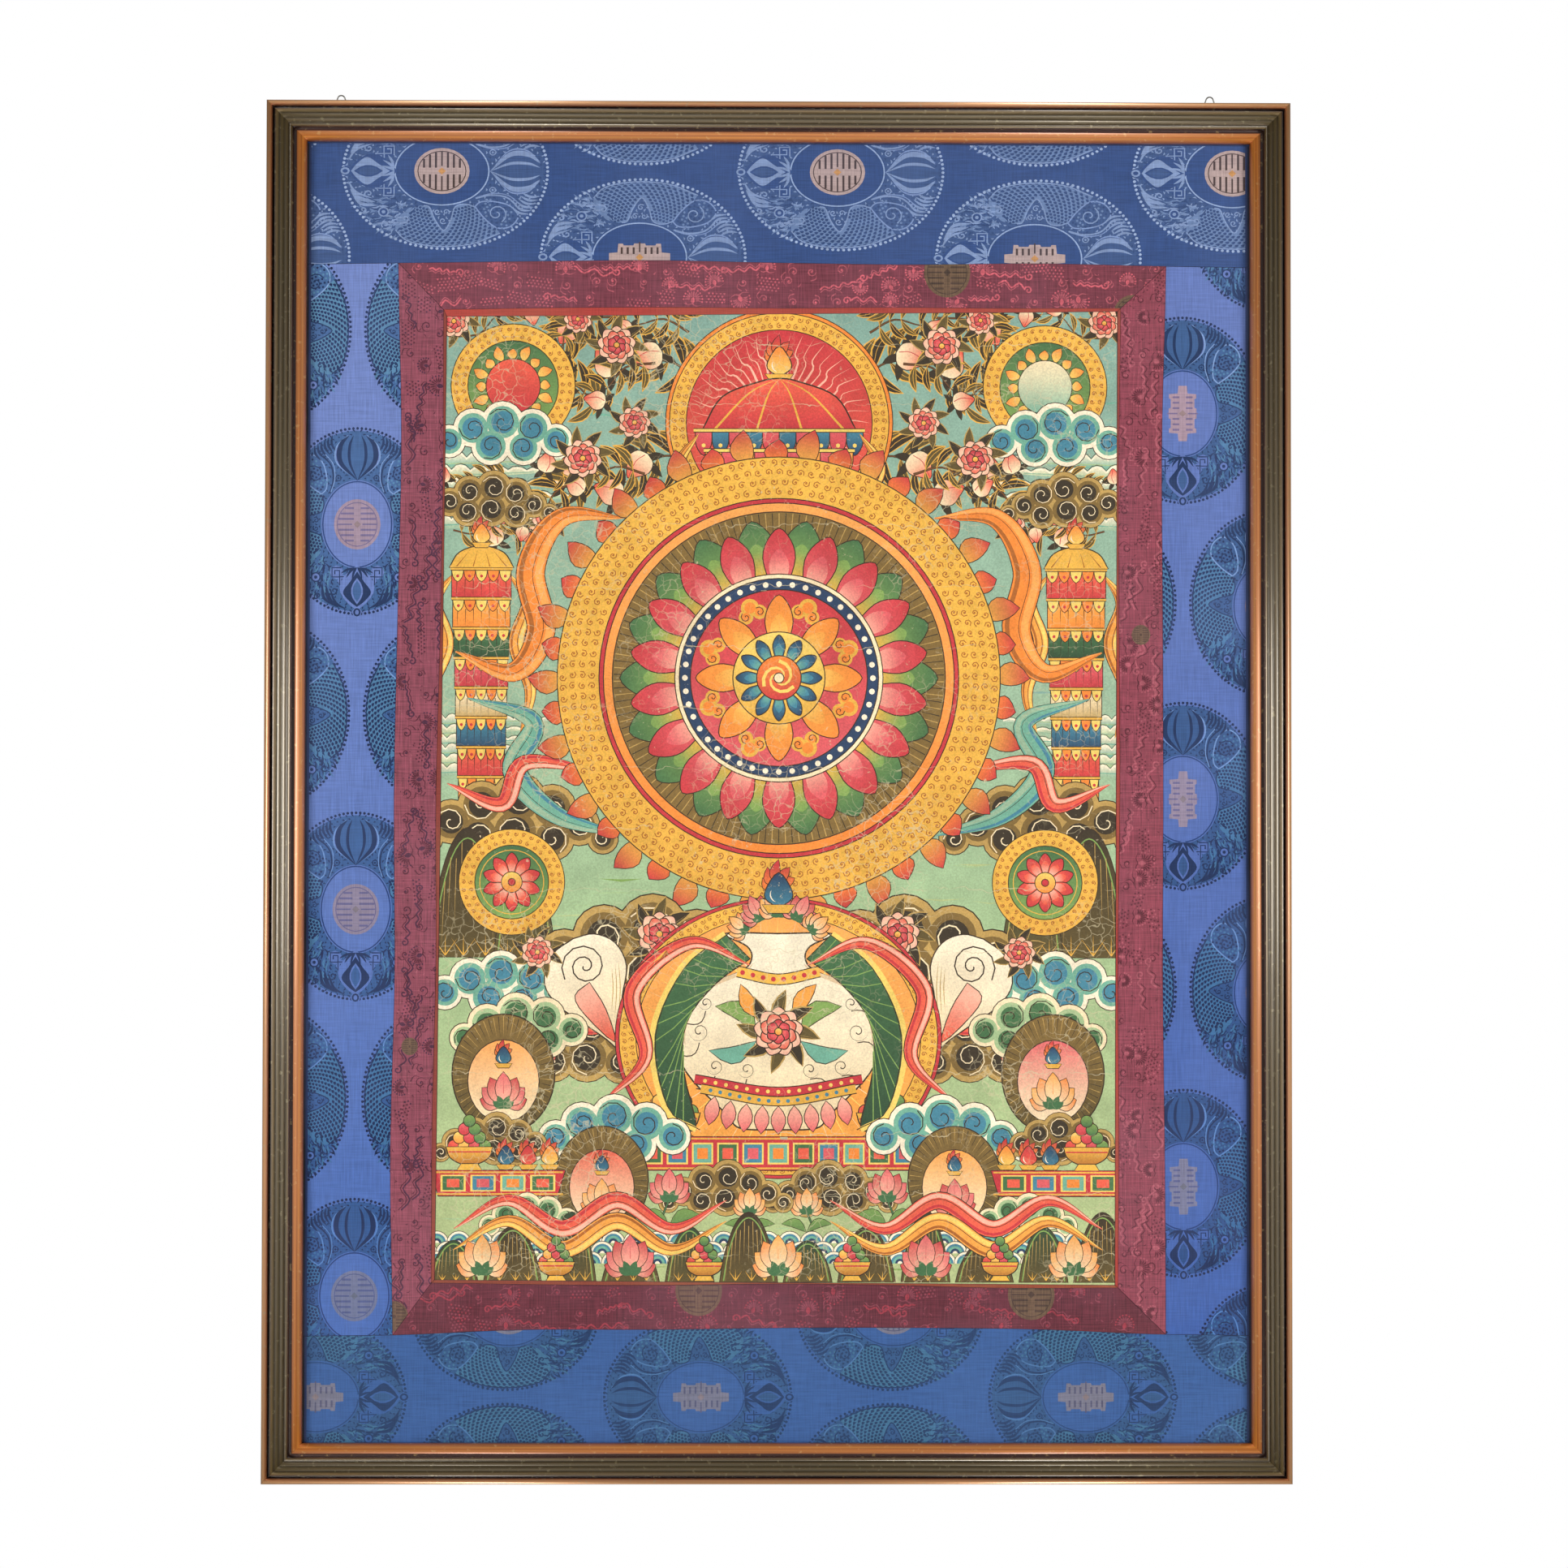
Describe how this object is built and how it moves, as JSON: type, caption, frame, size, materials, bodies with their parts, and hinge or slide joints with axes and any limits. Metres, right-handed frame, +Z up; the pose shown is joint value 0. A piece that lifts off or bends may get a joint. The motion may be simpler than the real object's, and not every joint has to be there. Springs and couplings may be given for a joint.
{
  "type": "thangka scroll painting in a wooden picture frame",
  "caption": "Flat painted cloth sewn into red edging, a maroon border and a blue brocade mount, held in a reeded wooden frame with a gilt fillet and wire hanging rings.",
  "frame": {"origin": "on the frame's centre line and back plane, at the height where the wall hooks bear inside the hanging rings", "axes": "+Z up, -Y towards the viewer, +X to the viewer's right"},
  "size_m": [0.792, 0.0262, 1.0746],
  "materials": {
    "painted_cloth": "matt mineral paint on primed cotton, creased and slightly worn",
    "red_silk": "plain woven silk, folded, with a soft sheen",
    "maroon_brocade": "satin-ground brocade with cloud and flower figures",
    "blue_brocade": "satin-ground brocade with large beaded medallions",
    "moulding": "reeded moulding, toned olive and copper, glossy lacquer",
    "gilt_fillet": "worn orange-gold gilding, glossy",
    "steel": "nickel-plated steel wire and strip"
  },
  "bodies": {
    "root": {"painting": "painted_cloth", "edging_top": "red_silk", "edging_bottom": "red_silk", "edging_left": "red_silk", "edging_right": "red_silk", "maroon_top": "maroon_brocade", "maroon_bottom": "maroon_brocade", "maroon_left": "maroon_brocade", "maroon_right": "maroon_brocade", "blue_top": "blue_brocade", "blue_bottom": "blue_brocade", "blue_left": "blue_brocade", "blue_right": "blue_brocade", "frame_top": "moulding", "frame_bottom": "moulding", "frame_left": "moulding", "frame_right": "moulding", "fillet_top": "gilt_fillet", "fillet_bottom": "gilt_fillet", "fillet_left": "gilt_fillet", "fillet_right": "gilt_fillet", "ring_left": "steel", "ring_right": "steel", "strap_left": "steel", "strap_right": "steel", "screw_left": "steel", "screw_right": "steel"}
  },
  "joints": []
}
